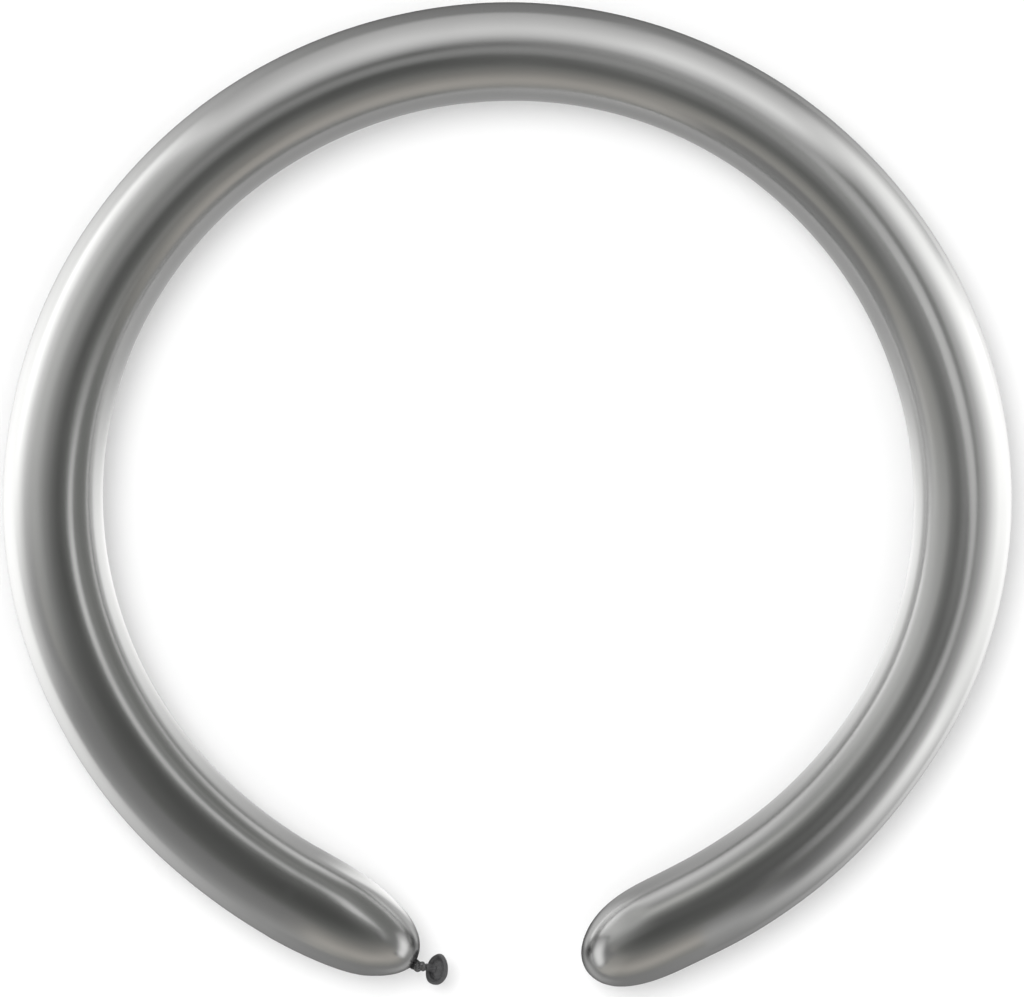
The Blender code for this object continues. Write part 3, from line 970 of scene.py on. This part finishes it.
def make_key_light(stage):
    """A very broad soft light from the upper left, which lays the shadows to the lower right."""
    lamp = bpy.data.lights.new("key_light", "SUN")
    lamp.energy = stage.key
    lamp.angle = math.radians(30)
    key = bpy.data.objects.new("key_light", lamp)
    bpy.context.collection.objects.link(key)
    bearing, zenith = math.radians(318), math.radians(18)
    towards = Vector((math.sin(bearing) * math.sin(zenith), math.cos(bearing) * math.sin(zenith), math.cos(zenith)))
    key.rotation_mode = "QUATERNION"
    key.rotation_quaternion = towards.to_track_quat("Z", "Y")
    key.visible_glossy = False


def make_camera(stage):
    """Straight above the ring, with the ring filling the frame."""
    seen_width = 0.5325  # across the frame, at the height of the tube's middle
    middle_height = 0.026
    lens = bpy.data.cameras.new("camera")
    lens.sensor_width = 36
    lens.lens = lens.sensor_width * stage.camera_height / seen_width
    lens.clip_end = 100
    camera = bpy.data.objects.new("camera", lens)
    camera.location = (0.0025, -0.0020, middle_height + stage.camera_height)
    bpy.context.collection.objects.link(camera)
    bpy.context.scene.camera = camera
    bpy.context.scene.view_settings.view_transform = "Standard"


# Operators ----------------------------------------------------------------------------------------------------------


class BALLOON_OT_envelope(bpy.types.Operator):
    """Makes the blown-up tube"""

    bl_idname = "balloon.envelope"
    bl_label = "Envelope"

    def execute(self, context):
        skin = make_tube(context.scene.balloon_tube)
        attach(skin, "balloon")
        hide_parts("envelope")
        return {"FINISHED"}


class BALLOON_OT_knot(bpy.types.Operator):
    """Makes the knot that shuts the neck"""

    bl_idname = "balloon.knot"
    bl_label = "Knot"

    def execute(self, context):
        skin = make_knot(context.scene.balloon_knot)
        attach(skin, "balloon")
        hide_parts("knot")
        return {"FINISHED"}


class BALLOON_OT_neck_stem(bpy.types.Operator):
    """Makes the short free neck between the knot and the mouth"""

    bl_idname = "balloon.neck_stem"
    bl_label = "Neck"

    def execute(self, context):
        skin = make_neck_stem(context.scene.balloon_tail)
        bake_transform(skin)
        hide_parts("neck_stem")
        return {"FINISHED"}


class BALLOON_OT_mouth(bpy.types.Operator):
    """Makes the mouth: its flare and the rolled lip round it"""

    bl_idname = "balloon.mouth"
    bl_label = "Mouth"

    def execute(self, context):
        tail = context.scene.balloon_tail
        for skin, node in ((make_mouth_flare(tail), "mouth_flare"), (make_rolled_lip(tail), "rolled_lip")):
            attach(skin, "tail")
            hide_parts(node)
        return {"FINISHED"}


class BALLOON_OT_stage(bpy.types.Operator):
    """Makes the floor, the lights and the camera"""

    bl_idname = "balloon.stage"
    bl_label = "Stage"

    def execute(self, context):
        stage = context.scene.balloon_stage
        make_floor(stage)
        make_mirrored_board()
        make_cards()
        make_cloths()
        make_strip_light()
        make_key_light(stage)
        make_world(stage)
        make_camera(stage)
        return {"FINISHED"}


class BALLOON_PT_parts(bpy.types.Panel):
    """Lists the balloon's pieces and their sizes"""

    bl_idname = "BALLOON_PT_parts"
    bl_label = "Modelling balloon"
    bl_space_type = "VIEW_3D"
    bl_region_type = "UI"
    bl_category = "Balloon"

    def draw(self, context):
        scene = context.scene
        groups = (
            (scene.balloon_tube, ("balloon.envelope",)),
            (scene.balloon_knot, ("balloon.knot",)),
            (scene.balloon_tail, ("balloon.neck_stem", "balloon.mouth")),
            (scene.balloon_stage, ("balloon.stage",)),
        )
        for settings, operators in groups:
            box = self.layout.box()
            for name in settings.bl_rna.properties.keys():
                if name not in ("name", "rna_type"):
                    box.prop(settings, name)
            for operator in operators:
                box.operator(operator)


SETTINGS = {
    "balloon_tube": BalloonTubeSettings,
    "balloon_knot": BalloonKnotSettings,
    "balloon_tail": BalloonTailSettings,
    "balloon_stage": BalloonStageSettings,
}
OTHERS = (
    BALLOON_OT_envelope,
    BALLOON_OT_knot,
    BALLOON_OT_neck_stem,
    BALLOON_OT_mouth,
    BALLOON_OT_stage,
    BALLOON_PT_parts,
)


def register():
    for cls in (*SETTINGS.values(), *OTHERS):
        bpy.utils.register_class(cls)
    for name, cls in SETTINGS.items():
        setattr(bpy.types.Scene, name, PointerProperty(type=cls))


def unregister():
    for name in SETTINGS:
        delattr(bpy.types.Scene, name)
    for cls in reversed((*SETTINGS.values(), *OTHERS)):
        bpy.utils.unregister_class(cls)


def main():
    register()
    bpy.ops.balloon.stage()
    bpy.ops.balloon.envelope()
    bpy.ops.balloon.knot()
    bpy.ops.balloon.neck_stem()
    bpy.ops.balloon.mouth()


if __name__ == "__main__":
    main()
